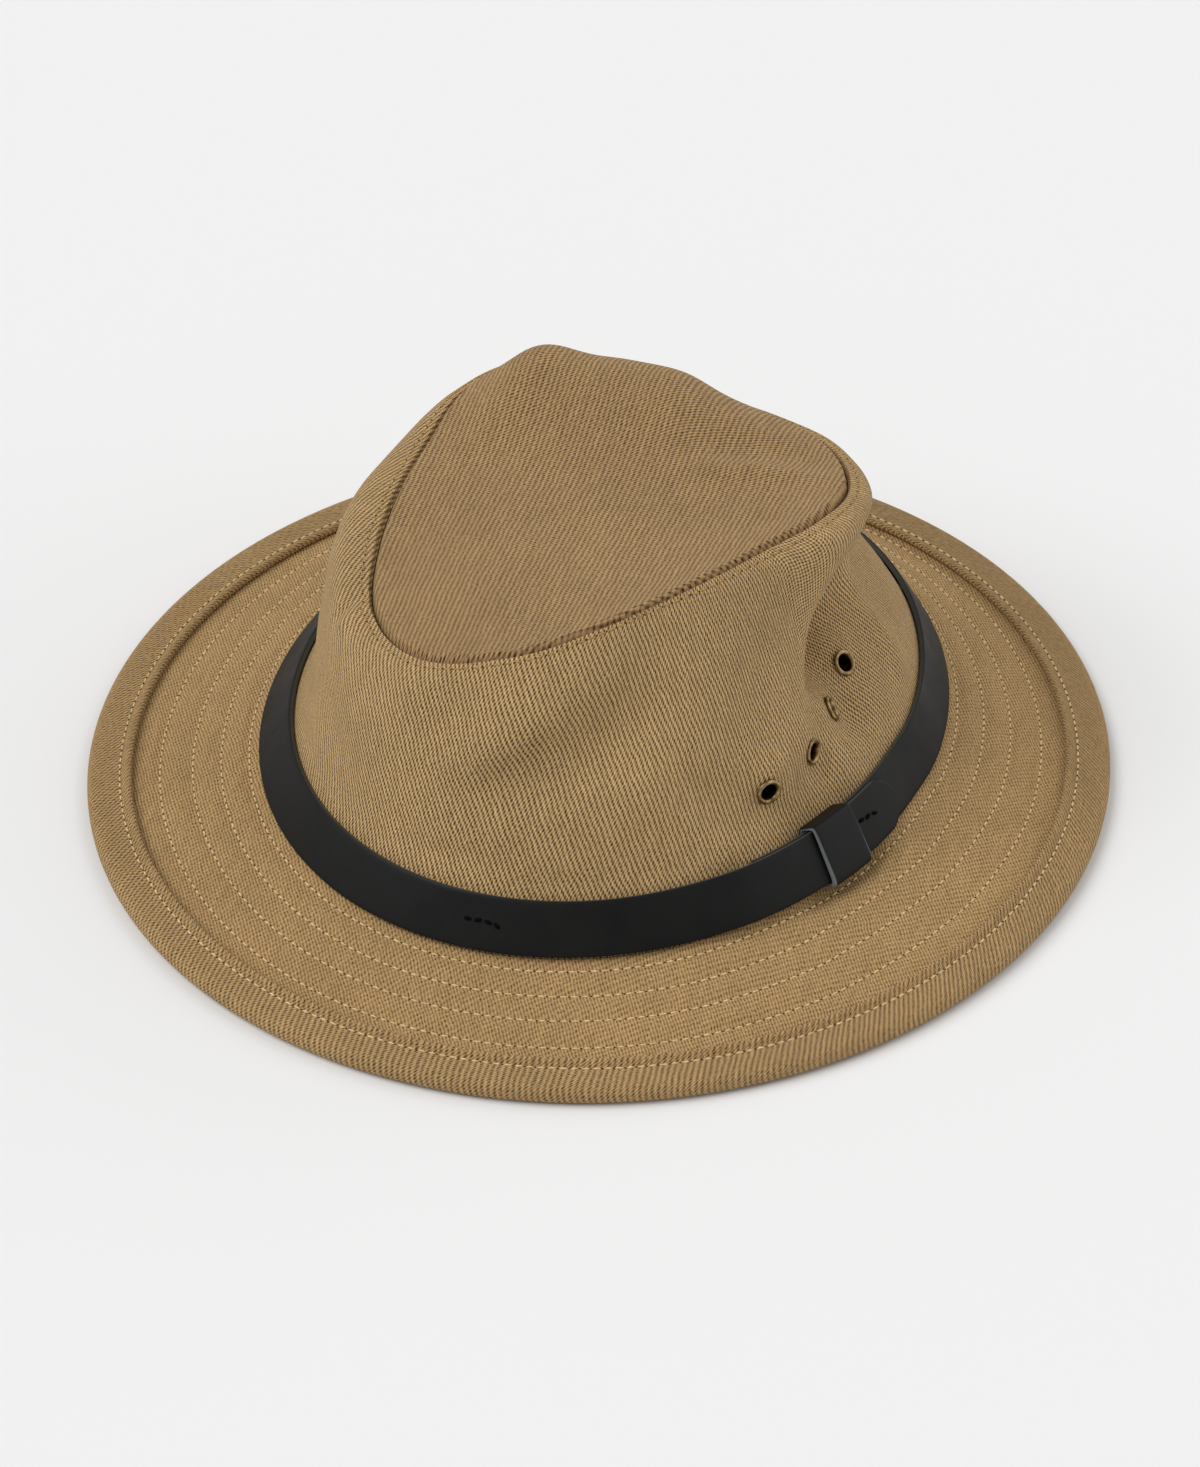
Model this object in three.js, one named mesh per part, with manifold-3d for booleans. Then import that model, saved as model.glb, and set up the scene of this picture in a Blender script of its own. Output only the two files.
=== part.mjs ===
// A packer hat of brushed cotton twill that stands on its hem: a soft crown with a pinched side
// and a sewn-in tip, a sloping brim with a bound edge, a black leather strap and brass vents.
// Millimetres, +Z up. The front is -Y and the wearer's left is +X. The origin is at the middle
// of the brim, on the surface that the hat stands on.
import * as THREE from "three";
import { ParametricGeometry } from "three/addons/geometries/ParametricGeometry.js";
import { mergeVertices } from "three/addons/utils/BufferGeometryUtils.js";
import Module from "manifold-3d";

const wasm = await Module();
wasm.setup();

// Driving dimensions
const GAP = 0.3; // clearance between neighbouring pieces
const FACET = { turn: 6, fineTurn: 3, from: 48, to: 126 }; // degrees, finer round the pinch

const CLOTH = 1.6; // thickness of the crown's twill
const SEAM_BLEND = 0.7; // of a step, over which the cloth turns to meet the tip seam upright
const CROWN_BACK = 4.6; // the crown's axis stands this far behind the brim's middle
const FOOT = { halfX: 86.6, halfY: 103.3, height: 12, lean: 30, slope: 18, tuck: 2.2 };
const TIP_CENTRE_HEIGHT = 79;

const BRIM = { halfX: 131, halfY: 136.9, thick: 2.2, innerTop: 12.4, flat: 11, bend: 1.25 };
const HEM = { wall: 1.1, width: 10, ridge: 1.0, ridgeWidth: 2.8, roll: 1.6, under: 8, round: 1 };

const STRAP = { width: 14, thick: 1.8, rise: 0.75, start: 46, end: 439, facets: 86 };
const TAIL = { turns: 4.6, tip: 1.5 }; // degrees that its rounded end takes, and the end's half-width
const DIP = { depth: 2.4, row: 0.3 }; // the brim gives way below the keeper, out to this row
const OVERLAP = { from: 44, to: 84, ramp: 12, sink: 1.1 };
const KEEPER = { from: 57.5, to: 67.5, face: 1.4, back: 1.0, ramp: 8, round: 0.8, crease: 0.1 };

const EYELET = { hole: 2.1, barrel: 2.45, rim: 3.35, face: 0.8, back: 2.95, clench: 0.5, segments: 8 };
const REACH = 6; // how far a vent's cut goes either side of the cloth

// The crown in section, every 20 degrees from the front round by the wearer's left. Waist,
// shoulder and seam are distances from the crown's axis, and height is the tip seam's.
const SECTION_STEP = 20;
const CROWN_SECTIONS = [
  { waist: 84, shoulder: 71, seam: 66.7, height: 75.9 },
  { waist: 77, shoulder: 61, seam: 56.9, height: 81.0 },
  { waist: 69, shoulder: 54, seam: 49.7, height: 83.0 },
  { waist: 63, shoulder: 52, seam: 46.8, height: 83.4 },
  { waist: 60, shoulder: 55, seam: 48.3, height: 82.9 },
  { waist: 64, shoulder: 63, seam: 54.6, height: 80.8 },
  { waist: 69, shoulder: 71, seam: 62.7, height: 76.9 },
  { waist: 72, shoulder: 72, seam: 65.8, height: 74.2 },
  { waist: 79, shoulder: 70, seam: 64.0, height: 73.0 },
  { waist: 82, shoulder: 69, seam: 63.0, height: 73.0 },
  { waist: 82, shoulder: 71, seam: 64.0, height: 75.0 },
  { waist: 79, shoulder: 71, seam: 64.0, height: 79.5 },
  { waist: 73, shoulder: 65, seam: 58.8, height: 81.1 },
  { waist: 71, shoulder: 64, seam: 53.8, height: 78.8 },
  { waist: 73, shoulder: 67, seam: 54.1, height: 75.9 },
  { waist: 75, shoulder: 70, seam: 58.6, height: 71.6 },
  { waist: 80, shoulder: 75, seam: 66.3, height: 67.4 },
  { waist: 84, shoulder: 76, seam: 70.3, height: 68.9 },
];
const WAIST_SHARE = 0.62; // of the way up from the foot to the seam
const SHOULDER_SHARE = 0.93;

// Dents in the crown's side. Share is the height between foot and seam, spread is the half-width
// in degrees round the hat and in share up it, and slant is degrees of turn per unit of share.
const SIDE_DENTS = [
  { turn: 89, share: 0.5, depth: 18, turnSpread: 12, shareSpread: 0.27, slant: 70 },
  { turn: 110, share: 0.52, depth: 5, turnSpread: 16, shareSpread: 0.3, slant: 50 },
  { turn: 128, share: 0.55, depth: 3, turnSpread: 7, shareSpread: 0.3, slant: 20 },
  { turn: 12, share: 0.62, depth: 3.5, turnSpread: 20, shareSpread: 0.13, slant: 50 },
  { turn: 66, share: 0.34, depth: -4, turnSpread: 22, shareSpread: 0.13, slant: 0 },
];
const DENTS_FREE = { above: 0.8, below: 0.64 }; // steps over which dents fade at strap and seam

// Folds in the tip, from the crown's axis: rise is up, along and across are half-widths, and
// heading turns the fold's length from +X towards +Y.
const TIP_FOLDS = [
  { x: -12, y: 44, rise: 15, along: 36, across: 24, heading: 0 },
  { x: -32, y: 44, rise: 4, along: 9, across: 26, heading: -10 },
  { x: 4, y: 48, rise: 2, along: 8, across: 20, heading: 10 },
  { x: 32, y: 25, rise: 2, along: 16, across: 4, heading: 22 },
  { x: 30, y: 35, rise: -3.5, along: 18, across: 7, heading: 30 },
];

// Vents on the wearer's left, from the front backwards, placed by turn and by the step up the
// side, where 1 is the top of the strap, 2 the waist, 3 the shoulder and 4 the seam. The right
// side's are mirrored about the crown's own front, which is twisted a little against the brim's.
const VENTS = [
  { turn: 53, step: 1.35 },
  { turn: 68, step: 1.34 },
  { turn: 81, step: 1.38 },
  { turn: 94, step: 1.5 },
];
const CROWN_FRONT = -19; // degrees

const leanSine = Math.sin(THREE.MathUtils.degToRad(FOOT.lean));
const leanCosine = Math.cos(THREE.MathUtils.degToRad(FOOT.lean));

// Small helpers
const smooth = (x) => THREE.MathUtils.smoothstep(x, 0, 1);
const plateau = (x, from, to, ramp) => smooth((x - from + ramp) / ramp) * smooth((to + ramp - x) / ramp);
const wrapTurn = (turn) => THREE.MathUtils.euclideanModulo(turn + 180, 360) - 180;
const bump = (a, b) => Math.exp(-a * a - b * b);

// A smooth curve through b and c, with a before them and d after them.
function through(a, b, c, d, f) {
  return b + 0.5 * f * (c - a + f * (2 * a - 5 * b + 4 * c - d + f * (3 * (b - c) + d - a)));
}

// One column of the crown's sections at any turn.
function section(column, turn) {
  const count = CROWN_SECTIONS.length;
  const place = THREE.MathUtils.euclideanModulo(turn, 360) / SECTION_STEP;
  const row = Math.floor(place);
  const at = (k) => CROWN_SECTIONS[(row + k + count) % count][column];
  return through(at(-1), at(0), at(1), at(2), place - row);
}

// A point at a distance from the crown's axis.
function polar(turn, reach, height) {
  const a = THREE.MathUtils.degToRad(turn);
  return new THREE.Vector3(reach * Math.sin(a), CROWN_BACK - reach * Math.cos(a), height);
}

// A point on or beside the crown's sloping foot: climb runs up the slope, out stands off it.
function footPoint(turn, climb, out) {
  const a = THREE.MathUtils.degToRad(turn);
  const reach = 1 / Math.hypot(Math.sin(a) / FOOT.halfX, Math.cos(a) / FOOT.halfY);
  const base = polar(turn, reach, FOOT.height);
  const away = new THREE.Vector3(base.x / FOOT.halfX ** 2, (base.y - CROWN_BACK) / FOOT.halfY ** 2, 0);
  away.normalize();
  base.addScaledVector(away, out * leanCosine - climb * leanSine);
  base.z += climb * leanCosine + out * leanSine;
  return base;
}

// How far the cloth gives behind the lapped strap and its keeper.
function bed(turn) {
  const lap = OVERLAP.sink * plateau(turn, OVERLAP.from, OVERLAP.to, OVERLAP.ramp);
  return lap + (GAP + KEEPER.back) * plateau(turn, KEEPER.from, KEEPER.to, KEEPER.ramp);
}

// Outer face of the crown's side. Step -1 is the edge sewn below the brim, 0 the foot, 1 the
// top of the strap's slope, 2 the waist, 3 the shoulder and 4 the tip seam.
function sidePoint(turn, step) {
  if (step <= 0) {
    const foot = footPoint(turn, 0, -bed(turn));
    foot.z += step * FOOT.tuck;
    return foot;
  }
  if (step <= 1) return footPoint(turn, step * FOOT.slope, -bed(turn));
  const rise = section("height", turn) - FOOT.height;
  const knots = [
    footPoint(turn, 0, -bed(turn)),
    footPoint(turn, FOOT.slope, -bed(turn)),
    polar(turn, section("waist", turn), FOOT.height + WAIST_SHARE * rise),
    polar(turn, section("shoulder", turn), FOOT.height + SHOULDER_SHARE * rise),
    polar(turn, section("seam", turn), FOOT.height + rise),
  ];
  knots.push(knots[4].clone().multiplyScalar(2).sub(knots[3]));
  const first = Math.min(Math.floor(step), 3);
  const at = (axis) => through(...knots.slice(first - 1, first + 3).map((k) => k[axis]), step - first);
  const point = new THREE.Vector3(at("x"), at("y"), at("z"));
  const share = (point.z - FOOT.height) / rise;
  const free = smooth((step - 1) / DENTS_FREE.above) * smooth((4 - step) / DENTS_FREE.below);
  const away = polar(turn, 1, 0).sub(polar(turn, 0, 0));
  return point.addScaledVector(away, -free * sideDent(turn, share));
}

function sideDent(turn, share) {
  return SIDE_DENTS.reduce((sum, d) => {
    const round = wrapTurn(turn - d.turn - d.slant * (share - d.share)) / d.turnSpread;
    return sum + d.depth * bump(round, (share - d.share) / d.shareSpread);
  }, 0);
}

// Outward normal of the crown's side.
function sideNormal(turn, step) {
  const round = sidePoint(turn + 0.5, step).sub(sidePoint(turn - 0.5, step));
  const up = sidePoint(turn, Math.min(step + 0.02, 4)).sub(sidePoint(turn, step - 0.02));
  return round.cross(up).normalize();
}

// Inner face of the crown's side. At the seam it lies straight below the outer face.
function sideInner(turn, step) {
  const inward = sideNormal(turn, step).negate();
  const down = new THREE.Vector3(0, 0, -1);
  if (step <= 0) inward.setZ(0).normalize();
  inward.lerp(down, smooth((step - 4) / SEAM_BLEND + 1)).normalize();
  return sidePoint(turn, step).addScaledVector(inward, CLOTH);
}

// Outer face of the tip, from the crown's axis at 0 to the seam at 1.
function tipPoint(turn, spread) {
  const seam = sidePoint(turn, 4);
  const reach = Math.hypot(seam.x, seam.y - CROWN_BACK);
  const share = spread * (1 - GAP / reach);
  const x = seam.x * share;
  const y = (seam.y - CROWN_BACK) * share;
  const folds = TIP_FOLDS.reduce((sum, fold) => {
    const a = THREE.MathUtils.degToRad(fold.heading);
    const dx = x - fold.x;
    const dy = y - fold.y;
    const along = (dx * Math.cos(a) + dy * Math.sin(a)) / fold.along;
    const across = (dy * Math.cos(a) - dx * Math.sin(a)) / fold.across;
    return sum + fold.rise * bump(along, across);
  }, 0);
  const z = TIP_CENTRE_HEIGHT + (seam.z - TIP_CENTRE_HEIGHT) * spread ** 3 + folds * (1 - spread ** 6);
  return new THREE.Vector3(x, CROWN_BACK + y, z);
}

// Top of the brim. Row 0 is beside the crown, 1 where the slope ends, and 2 the brim's own edge.
const edgeTop = HEM.wall + GAP + BRIM.thick;
function brimTop(turn, row) {
  const a = THREE.MathUtils.degToRad(turn);
  const inner = footPoint(turn, 0, -bed(turn));
  const away = new THREE.Vector3(inner.x, inner.y - CROWN_BACK, 0).normalize();
  inner.addScaledVector(away, GAP);
  const outer = new THREE.Vector3(BRIM.halfX * Math.sin(a), -BRIM.halfY * Math.cos(a), 0);
  const bent = inner.clone().setZ(0).lerp(outer, 1 - BRIM.flat / inner.distanceTo(outer));
  const point = row < 1 ? inner.clone().lerp(bent, row) : bent.clone().lerp(outer, row - 1);
  const sunk = DIP.depth * plateau(turn, KEEPER.from, KEEPER.to, KEEPER.ramp) * (1 - smooth(row / DIP.row));
  point.z = edgeTop + (BRIM.innerTop - edgeTop) * Math.max(0, 1 - row) ** BRIM.bend - sunk;
  return point;
}

// Outline of the hem in section: out is past the brim's edge, and up is from the surface that
// the hat stands on.
const hemTop = edgeTop + GAP + HEM.wall;
const HEM_SECTION = [
  { out: -HEM.under, up: 0 },
  { out: -HEM.round, up: 0 },
  { out: HEM.roll - HEM.round / 2, up: HEM.round / 2 },
  { out: HEM.roll, up: hemTop / 2 },
  { out: HEM.roll - HEM.round / 2, up: hemTop - HEM.round / 2 },
  { out: -HEM.round, up: hemTop },
  { out: -HEM.width + HEM.ridgeWidth, up: hemTop },
  { out: -HEM.width + HEM.ridgeWidth / 2, up: hemTop + HEM.ridge },
  { out: -HEM.width, up: hemTop + HEM.ridge / 2 },
  { out: -HEM.width, up: edgeTop + GAP },
  { out: GAP, up: edgeTop + GAP },
  { out: GAP, up: HEM.wall },
  { out: -HEM.under, up: HEM.wall },
];
function hemPoint(turn, corner) {
  const a = THREE.MathUtils.degToRad(turn);
  const edge = new THREE.Vector3(BRIM.halfX * Math.sin(a), -BRIM.halfY * Math.cos(a), 0);
  const away = new THREE.Vector3(edge.x / BRIM.halfX ** 2, edge.y / BRIM.halfY ** 2, 0).normalize();
  const { out, up } = HEM_SECTION[corner];
  return edge.addScaledVector(away, out).setZ(up);
}

// A closed solid from a surface that wraps round or ends on a point. Faces that shrink to a
// line there are dropped.
function solidFrom(geometry) {
  geometry.deleteAttribute("normal");
  geometry.deleteAttribute("uv");
  const merged = mergeVertices(geometry, 1e-4);
  const faces = [];
  for (let i = 0; i < merged.index.count; i += 3) {
    const [a, b, c] = [0, 1, 2].map((k) => merged.index.getX(i + k));
    if (a !== b && b !== c && c !== a) faces.push(a, b, c);
  }
  const vertProperties = merged.attributes.position.array;
  return new wasm.Manifold(new wasm.Mesh({ numProp: 3, vertProperties, triVerts: new Uint32Array(faces) }));
}

// A solid swept round: point(i, j) for i of rounds and j of the section's corners. Each facet
// of four corners is split along its shorter diagonal, so that slanting folds stay smooth.
function sweep(rounds, corners, point) {
  const surface = (u, v, target) => target.copy(point(Math.round(u * rounds), Math.round(v * corners)));
  const geometry = new ParametricGeometry(surface, rounds, corners);
  const places = geometry.attributes.position;
  const { array } = geometry.index;
  const at = (k) => new THREE.Vector3().fromBufferAttribute(places, k);
  for (let i = 0; i < array.length; i += 6) {
    const [a, b, d, , c] = array.subarray(i, i + 6);
    if (at(a).distanceTo(at(c)) < at(b).distanceTo(at(d))) array.set([a, b, c, a, c, d], i);
  }
  return solidFrom(geometry);
}

// The turns of the facets round the hat.
const turns = [FACET.from];
while (turns.at(-1) < FACET.from + 360) {
  turns.push(turns.at(-1) + (turns.at(-1) < FACET.to ? FACET.fineTurn : FACET.turn));
}
turns.pop();
const turnOf = (i) => turns[i % turns.length];

// Crown side: up the outer face and down the inner one.
const SIDE_STEPS = [-1, 0, 1, 1.2, 1.4, 1.55, 1.7, 1.85, 2, 2.3, 2.65, 3, 3.35, 3.7, 4];
const sideCorners = 2 * SIDE_STEPS.length;
let crownSide = sweep(turns.length, sideCorners, (i, j) => {
  const k = j % sideCorners;
  const inner = k >= SIDE_STEPS.length;
  const step = SIDE_STEPS[inner ? sideCorners - 1 - k : k];
  return inner ? sideInner(turnOf(i), step) : sidePoint(turnOf(i), step);
});

// Crown tip: out along the underside and back over the top.
const TIP_SPREADS = [0, 0.25, 0.5, 0.72, 0.9, 1];
const tipCorners = 2 * TIP_SPREADS.length - 1;
const crownTip = sweep(turns.length, tipCorners, (i, j) => {
  const top = j >= TIP_SPREADS.length;
  const point = tipPoint(turnOf(i), TIP_SPREADS[top ? tipCorners - j : j]);
  if (!top) point.z -= CLOTH;
  return point;
});

// Brim: in over the top and out along the underside.
const BRIM_ROWS = [2, 1, 0.3, 0];
const brimCorners = 2 * BRIM_ROWS.length;
const brim = sweep(turns.length, brimCorners, (i, j) => {
  const k = j % brimCorners;
  const under = k >= BRIM_ROWS.length;
  const point = brimTop(turnOf(i), BRIM_ROWS[under ? brimCorners - 1 - k : k]);
  if (under) point.z -= BRIM.thick;
  return point;
});

const brimBinding = sweep(turns.length, HEM_SECTION.length, (i, j) => hemPoint(turnOf(i), j % HEM_SECTION.length));

// Strap: one length, from its hidden start round to the tail that laps over it.
const tailTurn = STRAP.end - TAIL.turns;
const TAIL_SHARES = [0.4, 0.7, 0.9, 1];
const strapTurns = Array.from({ length: STRAP.facets + 1 },
  (_, k) => STRAP.start + ((tailTurn - STRAP.start) * k) / STRAP.facets);
strapTurns.push(...TAIL_SHARES.map((share) => tailTurn + share * TAIL.turns));
function strapPoint(turn, corner) {
  const full = STRAP.width / 2;
  const late = THREE.MathUtils.clamp((turn - tailTurn) / TAIL.turns, 0, 1);
  const half = Math.max(full * Math.sqrt(1 - late ** 2), TAIL.tip);
  const lift = turn < 360
    ? -OVERLAP.sink * plateau(turn, OVERLAP.from, OVERLAP.to, OVERLAP.ramp)
    : (STRAP.thick + GAP - OVERLAP.sink) * smooth((turn - 360 - OVERLAP.from) / OVERLAP.ramp + 1);
  const face = corner === 1 || corner === 2 ? STRAP.thick : 0;
  const climb = STRAP.rise + full + (corner < 2 ? -half : half);
  return footPoint(turn, climb, GAP + lift + face);
}
const strapRounds = strapTurns.length + 1;
const hatBand = sweep(strapRounds, 4, (i, j) => {
  const turn = strapTurns[THREE.MathUtils.clamp(i - 1, 0, strapTurns.length - 1)];
  const corners = [0, 1, 2, 3].map((corner) => strapPoint(turn, corner));
  if (i > 0 && i < strapRounds) return corners[j % 4];
  return corners.reduce((sum, c) => sum.addScaledVector(c, 1 / corners.length), new THREE.Vector3());
});

// Keeper: a flat leather loop round both layers of the strap.
const layers = { inner: GAP - OVERLAP.sink, outer: 2 * GAP - OVERLAP.sink + 2 * STRAP.thick };
function keeperLoop(side, face, back, round) {
  const low = STRAP.rise - GAP - side;
  const high = STRAP.rise + STRAP.width + GAP + side;
  const out = layers.outer + GAP + face;
  const inn = layers.inner - GAP - back;
  return [
    [inn, low],
    [out - round, low],
    [out, low + round],
    [out, high - round],
    [out - round, high],
    [inn, high],
  ];
}
const keeperOuter = keeperLoop(KEEPER.back, KEEPER.face, KEEPER.back, KEEPER.round);
const keeperInner = keeperLoop(0, 0, 0, KEEPER.crease);
const keeperTurns = [KEEPER.to, (KEEPER.from + KEEPER.to) / 2, KEEPER.from];
const keeperCorners = 2 * keeperTurns.length;
const bandKeeper = sweep(keeperOuter.length, keeperCorners, (i, j) => {
  const k = j % keeperCorners;
  const inner = k >= keeperTurns.length;
  const turn = keeperTurns[inner ? keeperCorners - 1 - k : k];
  const [out, climb] = (inner ? keeperInner : keeperOuter)[i % keeperOuter.length];
  return footPoint(turn, climb, out);
});

// Eyelets: a rolled brass ring through the cloth, with its back turned over inside.
const eyeletOutline = [
  [EYELET.hole, -CLOTH - GAP - EYELET.clench],
  [EYELET.back, -CLOTH - GAP - EYELET.clench],
  [EYELET.barrel, -CLOTH - GAP],
  [EYELET.barrel, GAP],
  [EYELET.rim, GAP],
  [(EYELET.rim + EYELET.barrel) / 2, EYELET.face],
  [EYELET.hole, GAP],
  [EYELET.hole, -CLOTH - GAP - EYELET.clench],
].map(([r, h]) => new THREE.Vector2(r, h));

// The room that an eyelet takes out of the cloth.
const cutOutline = [
  [0, -CLOTH - REACH],
  [EYELET.back + GAP, -CLOTH - REACH],
  [EYELET.back + GAP, -CLOTH],
  [EYELET.barrel + GAP, -CLOTH],
  [EYELET.barrel + GAP, 0],
  [EYELET.rim + GAP, 0],
  [EYELET.rim + GAP, REACH],
  [0, REACH],
].map(([r, h]) => new THREE.Vector2(r, h));

const eyelets = [];
for (const side of ["left", "right"]) {
  VENTS.forEach((vent, i) => {
    const turn = side === "left" ? vent.turn : 2 * CROWN_FRONT - vent.turn;
    const mesh = new THREE.Mesh();
    mesh.name = `eyelet_${side}_${i + 1}`;
    mesh.position.copy(sidePoint(turn, vent.step));
    const normal = sideNormal(turn, vent.step);
    mesh.quaternion.setFromUnitVectors(new THREE.Vector3(0, 1, 0), normal);
    mesh.updateMatrix();
    const room = new THREE.LatheGeometry(cutOutline, EYELET.segments).applyMatrix4(mesh.matrix);
    crownSide = crownSide.subtract(solidFrom(room));
    eyelets.push(mesh);
  });
}

// Materials and the assembled hat
const twill = new THREE.MeshStandardMaterial({ name: "twill", color: 0xa3875f, roughness: 0.95, metalness: 0 });
const leather = new THREE.MeshStandardMaterial({ name: "leather", color: 0x2b2b2a, roughness: 0.5, metalness: 0 });
const brass = new THREE.MeshStandardMaterial({ name: "brass", color: 0x7a6546, roughness: 0.4, metalness: 1 });

function meshOf(name, solid, material) {
  const { numProp, vertProperties, triVerts } = solid.getMesh();
  const geometry = new THREE.BufferGeometry();
  geometry.setAttribute("position", new THREE.BufferAttribute(vertProperties, numProp));
  geometry.setIndex(new THREE.BufferAttribute(triVerts, 1));
  geometry.computeVertexNormals();
  const mesh = new THREE.Mesh(geometry, material);
  mesh.name = name;
  return mesh;
}

const eyeletMesh = meshOf("eyelet", solidFrom(new THREE.LatheGeometry(eyeletOutline, EYELET.segments)), brass);
for (const mesh of eyelets) {
  mesh.geometry = eyeletMesh.geometry;
  mesh.material = brass;
}

const hat = new THREE.Group();
hat.add(
  meshOf("crown_side", crownSide, twill),
  meshOf("crown_tip", crownTip, twill),
  meshOf("brim", brim, twill),
  meshOf("brim_binding", brimBinding, twill),
  meshOf("hat_band", hatBand, leather),
  meshOf("band_keeper", bandKeeper, leather),
  ...eyelets,
);
export default hat;
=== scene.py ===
# The looks of a packer hat: a soft crown of brushed cotton twill with a pinched side and a sewn-in
# tip, a stitched brim with a bound edge, a black leather strap held by a keeper, and brass vents.
# Lengths are in millimetres, turned to metres where a mesh is placed. The front is -Y, and the
# wearer's left is +X. A turn of 0 is the front, and it grows towards the wearer's left.
import math

import bmesh
import bpy
from mathutils import Matrix, Vector, noise


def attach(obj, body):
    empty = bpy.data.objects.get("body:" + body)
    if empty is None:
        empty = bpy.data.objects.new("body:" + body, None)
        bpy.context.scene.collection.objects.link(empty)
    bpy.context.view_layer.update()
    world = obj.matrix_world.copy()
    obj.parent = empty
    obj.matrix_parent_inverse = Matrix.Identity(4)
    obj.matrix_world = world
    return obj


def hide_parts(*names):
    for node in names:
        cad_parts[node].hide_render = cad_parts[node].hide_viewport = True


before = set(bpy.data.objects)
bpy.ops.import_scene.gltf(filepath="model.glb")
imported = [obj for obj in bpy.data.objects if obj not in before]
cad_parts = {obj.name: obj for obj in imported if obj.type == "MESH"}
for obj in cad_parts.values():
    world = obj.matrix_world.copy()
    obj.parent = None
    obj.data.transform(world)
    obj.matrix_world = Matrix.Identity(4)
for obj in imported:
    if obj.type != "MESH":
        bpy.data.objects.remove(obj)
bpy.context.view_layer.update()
MM = 0.001

# Crown side
# The wall is a curved strip of heavy cotton twill, brushed on its face and washed soft. It is sewn
# to the brim at its foot and to the tip at its top. It was pressed by hand, so it keeps a deep
# pinch on the wearer's left and shallow folds elsewhere.
CLOTH = 1.6
CROWN_BACK = 4.6
# The foot is an oval that leans in by some degrees, more so on the wearer's right.
FOOT = {
    "half_x": 86.6,
    "half_y": 103.3,
    "height": 12,
    "lean": 30,
    "right_lean": 9,
    "slope": 18,
    "tuck": 2.2,
}
WAIST_SHARE = 0.62
SHOULDER_SHARE = 0.93
SEAM_BLEND = 0.7
SEAM_ROLL = {"deep": 1.6, "wide": 0.06}
# The reach of the waist, shoulder and seam from the crown's middle, and the seam's height, with
# a row for each 20 degrees from the front.
SECTION_STEP = 20
COLUMNS = ("waist", "shoulder", "seam", "height")
CROWN_SECTIONS = (
    (84, 71, 66.7, 75.9),
    (77, 61, 56.9, 81.0),
    (69, 54, 49.7, 83.0),
    (63, 52, 46.8, 83.4),
    (60, 55, 48.3, 82.9),
    (64, 63, 54.6, 80.8),
    (69, 71, 62.7, 76.9),
    (72, 72, 65.8, 74.2),
    (79, 70, 64.0, 73.0),
    (82, 69, 63.0, 73.0),
    (82, 71, 64.0, 75.0),
    (79, 71, 64.0, 80.9),
    (73, 65, 58.8, 82.5),
    (71, 64, 53.8, 78.8),
    (73, 67, 54.1, 75.9),
    (75, 70, 58.6, 71.6),
    (80, 75, 66.3, 67.4),
    (84, 76, 70.3, 68.9),
)
# Each dent's turn, share of the height, depth, spread in turn and in share, and slant.
SIDE_DENTS = (
    (89, 0.5, 18, 12, 0.27, 70),
    (110, 0.52, 5, 16, 0.3, 50),
    (128, 0.55, 3, 7, 0.3, 20),
    (12, 0.62, 3.5, 20, 0.13, 50),
    (66, 0.34, -4, 22, 0.13, 0),
)
DENTS_FREE = {"above": 0.8, "below": 0.64}
# Softer folds and creases, in the same columns. A negative depth stands out.
SIDE_FOLDS = (
    (22, 0.7, 5.2, 11, 0.18, 40),
    (0, 0.7, -2.8, 9, 0.18, 30),
    (-9, 0.78, 1.5, 6, 0.13, 0),
    (39, 0.42, 1.9, 5, 0.14, -30),
    (29, 0.42, -0.9, 4, 0.2, -20),
    (-4, 0.28, 1.2, 6, 0.06, 0),
    (14, 0.3, -0.8, 7, 0.07, 0),
    (56, 0.62, 1.1, 7, 0.16, 40),
    (-46, 0.95, 1.3, 1.6, 0.05, 0),
    (-43, 0.95, -0.8, 1.3, 0.05, 0),
    (-90, 0.68, 2.2, 24, 0.3, 0),
    (110, 0.44, -2.6, 4.5, 0.18, 34),
    (121, 0.55, 2.0, 5, 0.2, 34),
    (-36, 0.5, 1.4, 8, 0.18, -30),
    (-120, 0.5, 2.0, 14, 0.2, 20),
    (170, 0.55, 2.0, 16, 0.2, -30),
)
FOLDS_FREE = 0.22
CRUMPLE = {"wide": 26, "deep": 0.55, "fine_wide": 9, "fine_deep": 0.16}
LAP = {"from": 44, "to": 84, "ramp": 12, "sink": 1.1}
KEEPER_BED = {"from": 57.5, "to": 67.5, "ramp": 8, "sink": 1.3}


def linear(colour):
    """The linear colour of an sRGB hex value."""
    parts = [int(colour[k:k + 2], 16) / 255 for k in (1, 3, 5)]
    return [c / 12.92 if c <= 0.04045 else ((c + 0.055) / 1.055) ** 2.4 for c in parts] + [1]


def add(material, kind, sockets=(), **settings):
    """Adds a node. Settings are its properties. A socket gets a value, or an output to link to."""
    node = material.node_tree.nodes.new("ShaderNode" + kind)
    for name, value in settings.items():
        setattr(node, name, value)
    for socket, value in dict(sockets).items():
        if isinstance(value, bpy.types.NodeSocket):
            material.node_tree.links.new(value, node.inputs[socket])
        else:
            node.inputs[socket].default_value = value
    return node


def blank(name):
    """A new material without nodes."""
    material = bpy.data.materials.new(name)
    material.use_nodes = True
    material.node_tree.nodes.clear()
    return material


def clouds(material, place, scale, detail, roughness=0.5):
    """Soft random patches, scale of them to each unit of length."""
    sockets = {"Vector": place, "Scale": scale, "Detail": detail, "Roughness": roughness}
    return add(material, "TexNoise", sockets).outputs


def reckon(material, operation, *values, clamp=False):
    sockets = dict(enumerate(values))
    return add(material, "Math", sockets, operation=operation, use_clamp=clamp).outputs[0]


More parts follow.
